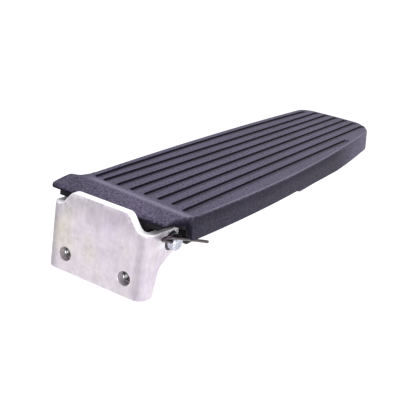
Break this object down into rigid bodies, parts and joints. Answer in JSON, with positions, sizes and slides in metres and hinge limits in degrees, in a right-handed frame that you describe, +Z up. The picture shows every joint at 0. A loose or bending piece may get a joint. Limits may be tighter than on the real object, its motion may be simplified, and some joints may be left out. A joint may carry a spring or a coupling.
{
  "type": "floor-hinged treadle pedal",
  "caption": "Long foot pedal with a ribbed rubber tread over a moulded tray, hinged by a pin and a torsion spring to a folded zinc-plated bracket that bolts to a bulkhead.",
  "frame": {"origin": "middle of the bracket's front face, halfway between its mounting holes", "axes": "+X to the right along the bracket, +Y back along the pedal from hinge to far end, +Z up out of the tread"},
  "size_m": [0.0765, 0.3016, 0.0428],
  "materials": {
    "zinc_plated_steel": "bright zinc plated, lightly streaked and scuffed, with bare cut edges",
    "nut_steel": "zinc plated, slightly dull from welding",
    "pin_steel": "zinc plated, satin",
    "clip_steel": "plain drawn wire, brownish",
    "spring_steel": "oiled spring wire, dark grey",
    "bush_plastic": "black nylon",
    "tread_rubber": "dark grey moulded rubber with a fine mottle",
    "body_plastic": "black glass-filled nylon, fine grain",
    "wear_steel": "hardened steel strip, brushed lengthwise",
    "rivet_aluminium": "plain aluminium"
  },
  "bodies": {
    "bracket": {"hinge_bracket": "zinc_plated_steel", "weld_nut_left": "nut_steel", "weld_nut_right": "nut_steel", "ear_bush_left": "bush_plastic", "ear_bush_right": "bush_plastic", "hinge_pin": "pin_steel", "pin_washer": "pin_steel", "hairpin_clip": "clip_steel", "spring_sleeve": "bush_plastic", "return_spring": "spring_steel"},
    "pedal": {"tread_cover": "tread_rubber", "pedal_body": "body_plastic", "wear_plate": "wear_steel", "wear_rivet_1": "rivet_aluminium", "wear_rivet_2": "rivet_aluminium", "wear_rivet_3": "rivet_aluminium", "wear_rivet_4": "rivet_aluminium"}
  },
  "joints": [
    {"name": "pedal_hinge", "type": "hinge", "parent": "bracket", "child": "pedal", "pos_m": [0, 0.019, 0.0175], "axis": [1, 0, 0], "range_deg": [-20, 0], "stiffness_Nm_per_rad": 0.85, "springref_deg": 49.85, "deforming": ["return_spring"]}
  ]
}
